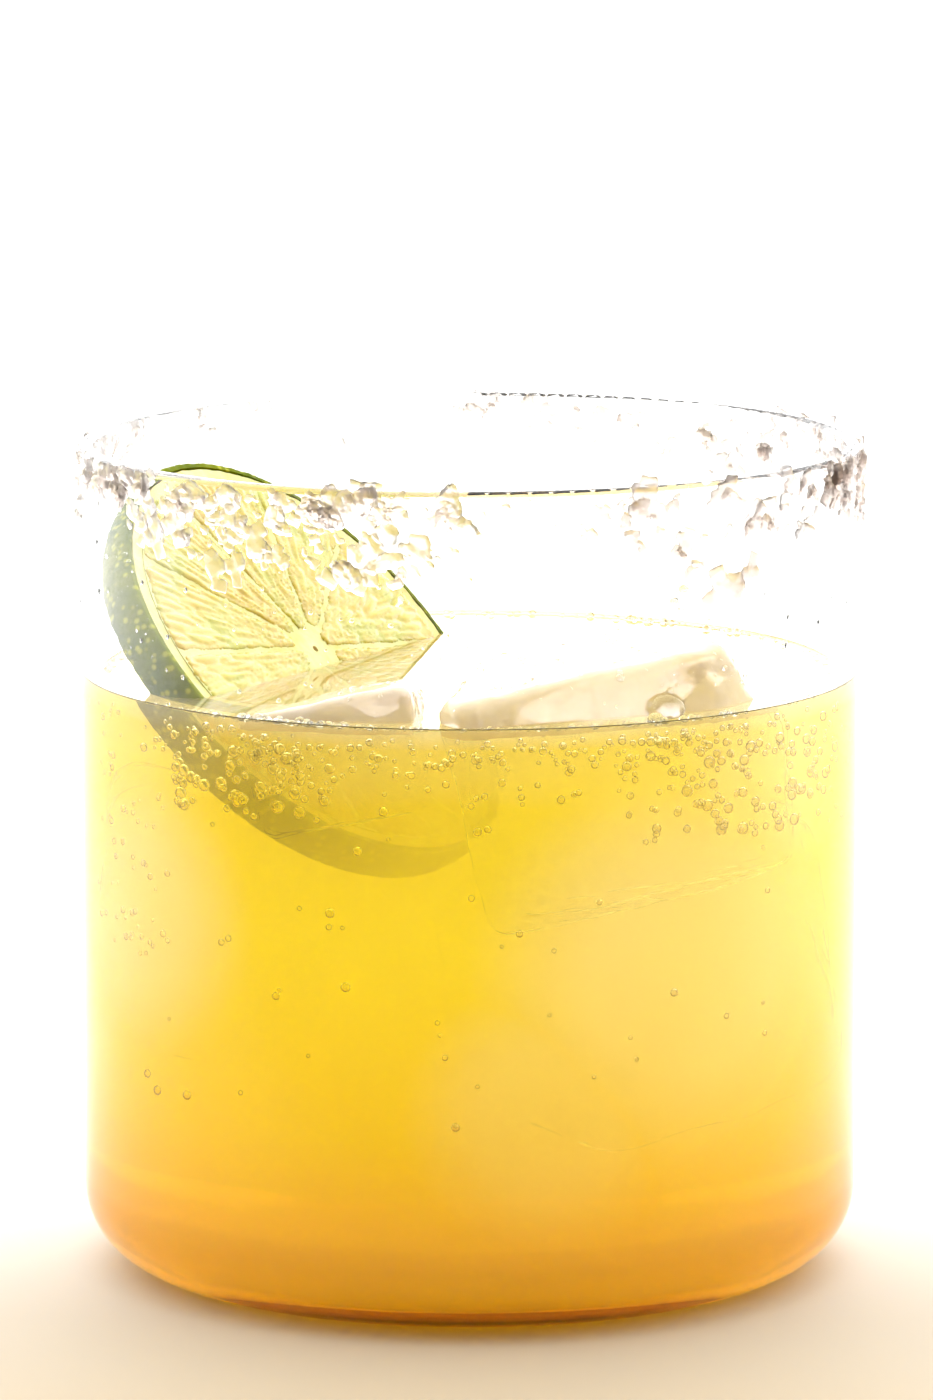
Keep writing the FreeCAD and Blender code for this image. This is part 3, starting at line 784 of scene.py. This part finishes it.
def makeGlassDrops():
    dice = random.Random(dropLook["wallSeed"])
    drop = dropShape()
    copies = []
    for azimuth, spread, lowest, highest, count, smallest, largest in dropZones:
        for _ in range(count):
            size = (smallest + (largest - smallest) * dice.random() ** 2.2) * mm
            around = azimuth + dice.uniform(-spread, spread)
            height = dice.uniform(lowest, highest) * mm
            turn = dice.uniform(0, 6.28)
            scale = (size, size * dice.uniform(.8, 1.2), size * dropLook["wallFlatness"])
            copies.append(copyTo(drop, onWall(around, height, outerRadius, turn, scale)))
    bpy.data.objects.remove(drop)
    drops = joinAs(copies, "wall_drops")
    settle(drops)
    drops.data.materials.append(waterMaterial("water on the wall"))
    rideAs(drops, "drink")
    print("drops set on the wall")


def makeIceDrops():  # melt water that beads on the ice and on the lime above the drink
    dice = random.Random(dropLook["iceSeed"])
    lowest = drinkLevel + dropLook["aboveDrink"]
    smallest = dropLook["iceSmallest"]
    drop = dropShape()
    copies = []
    for name, count, largest in meltDrops:
        mesh = bpy.data.objects[name].data
        faces = [face for face in mesh.polygons if face.center.z > lowest and face.normal.z > -.2]
        for face in dice.sample(faces, min(count, len(faces))):
            size = (smallest + (largest - smallest) * dice.random() ** 2) * mm
            facing = face.normal.to_track_quat("Z", "Y").to_matrix().to_4x4()
            flat = Matrix.Diagonal((size, size * dice.uniform(.7, 1.3), size * dropLook["iceFlatness"], 1))
            copies.append(copyTo(drop, Matrix.Translation(face.center) @ facing @ flat))
    bpy.data.objects.remove(drop)
    drops = joinAs(copies, "melt_drops")
    settle(drops)
    drops.data.materials.append(waterMaterial("melt water"))
    rideAs(drops, "ice")
    print("melt water beaded")


foamLook = dict(seed=31, smallShare=1.5, scatter=.6, rise=.35, flatness=.8)
surfaceBubbles = [  # azimuth, its spread, gap to the wall (mm), how many, smallest and largest radius (mm)
    (-95, 50, .9, 150, .15, .42),
    (-56, 2, 3.2, 1, 2.1, 2.2),
    (-61.5, 1, 1.8, 1, .85, .95),
    (-118, 9, 1.2, 40, .25, .6),
    (60, 120, 1.0, 160, .15, .5),
]


def makeSurfaceBubbles():
    dice = random.Random(foamLook["seed"])
    bubble = unitBall()
    smooth(bubble)
    copies = []
    for azimuth, spread, gap, count, smallest, largest in surfaceBubbles:
        for _ in range(count):
            size = (smallest + (largest - smallest) * dice.random() ** foamLook["smallShare"]) * mm
            angle = math.radians(azimuth + dice.uniform(-spread, spread))
            reach = innerRadius - size - abs(dice.gauss(0, foamLook["scatter"])) * gap * mm
            height = drinkLevel + size * foamLook["rise"]
            centre = (reach * math.cos(angle), reach * math.sin(angle), height)
            flat = Matrix.Diagonal((size, size, size * foamLook["flatness"], 1))
            copies.append(copyTo(bubble, Matrix.Translation(centre) @ flat))
    bpy.data.objects.remove(bubble)
    bubbles = joinAs(copies, "surface_bubbles")
    settle(bubbles)
    bubbles.data.materials.append(waterMaterial("bubble skin"))
    rideAs(bubbles, "drink")
    print("bubbles floated")


stageLook = dict(  # the room's light changes along Y, from the dim front to the bright back
    floorSize=8, floorShift=2.5, floorGlowFade=(-.12, .08),
    # floor colours are painted light: a painted amber-brown glow and shade in front of the glass's foot,
    # fading to a painted bright grey-white behind it
    floorPaintedGlow=[(0, (.32, .235, .115)), (.45, (.42, .36, .28)), (1, (.62, .61, .60))],
    dimDirection=-.75, brightDirection=.45, frontLight=.17, backLight=4.4)


def makeFloor():
    bpy.ops.mesh.primitive_plane_add(size=stageLook["floorSize"], location=(0, stageLook["floorShift"], 0))
    floor = bpy.context.object
    floor.name = "floor"
    material, tree, shader = newMaterial("pale floor", Roughness=.75)
    # painted light: amber-brown glow and shade in front of the foot, bright grey-white behind
    share = shareBetween(tree, alongAxis(tree, "Y"), *stageLook["floorGlowFade"])
    tree.links.new(ramp(tree, share, stageLook["floorPaintedGlow"]), shader.inputs["Base Color"])
    floor.data.materials.append(material)
    settle(floor)
    print("floor laid")


def makeRoomLight():  # soft white room, dim in front of the glass and bright behind it
    world = bpy.data.worlds.new("soft white room")
    bpy.context.scene.world = world
    world.use_nodes = True
    world.cycles.sampling_method = "NONE"  # the room is so even that aimed rays only cost time
    tree = world.node_tree
    background = tree.nodes["Background"]
    background.inputs["Color"].default_value = (1, 1, 1, 1)
    direction = tree.nodes.new("ShaderNodeTexCoord")
    separate = tree.nodes.new("ShaderNodeSeparateXYZ")
    tree.links.new(direction.outputs["Generated"], separate.inputs["Vector"])
    strength = tree.nodes.new("ShaderNodeMapRange")
    strength.interpolation_type = "SMOOTHSTEP"
    strength.inputs["From Min"].default_value = stageLook["dimDirection"]
    strength.inputs["From Max"].default_value = stageLook["brightDirection"]
    strength.inputs["To Min"].default_value = stageLook["frontLight"]
    strength.inputs["To Max"].default_value = stageLook["backLight"]
    tree.links.new(separate.outputs["Y"], strength.inputs["Value"])
    tree.links.new(strength.outputs["Result"], background.inputs["Strength"])
    print("room lit")


cameraSettings = dict(distance=.8, height=.193, aside=-.00034, downward=9.41, lens=195, sensor=36)


def makeCamera():
    camera = bpy.data.cameras.new("camera")
    holder = bpy.data.objects.new("camera", camera)
    bpy.context.scene.collection.objects.link(holder)
    camera.lens = cameraSettings["lens"]
    camera.sensor_width = cameraSettings["sensor"]
    holder.location = (cameraSettings["aside"], -cameraSettings["distance"], cameraSettings["height"])
    holder.rotation_euler = (math.radians(90 - cameraSettings["downward"]), 0, 0)
    bpy.context.scene.camera = holder
    print("camera placed")


finishGlass()
sunkMaterial = sunkIceMaterial()
makeFloatingIce(sunkMaterial)
makeSunkIce(sunkMaterial)
makeDrink()
makeLime()
makeSalt()
makeGlassDrops()
makeIceDrops()
makeSurfaceBubbles()
makeFloor()
makeRoomLight()
makeCamera()

scene = bpy.context.scene
scene.view_settings.view_transform = "Standard"
scene.cycles.max_bounces = 20
scene.cycles.transmission_bounces = 18
scene.cycles.volume_bounces = 8
scene.cycles.diffuse_bounces = 4
scene.cycles.blur_glossy = 0  # sharp glass for scattered light too, else the drink loses light
print("light paths set")
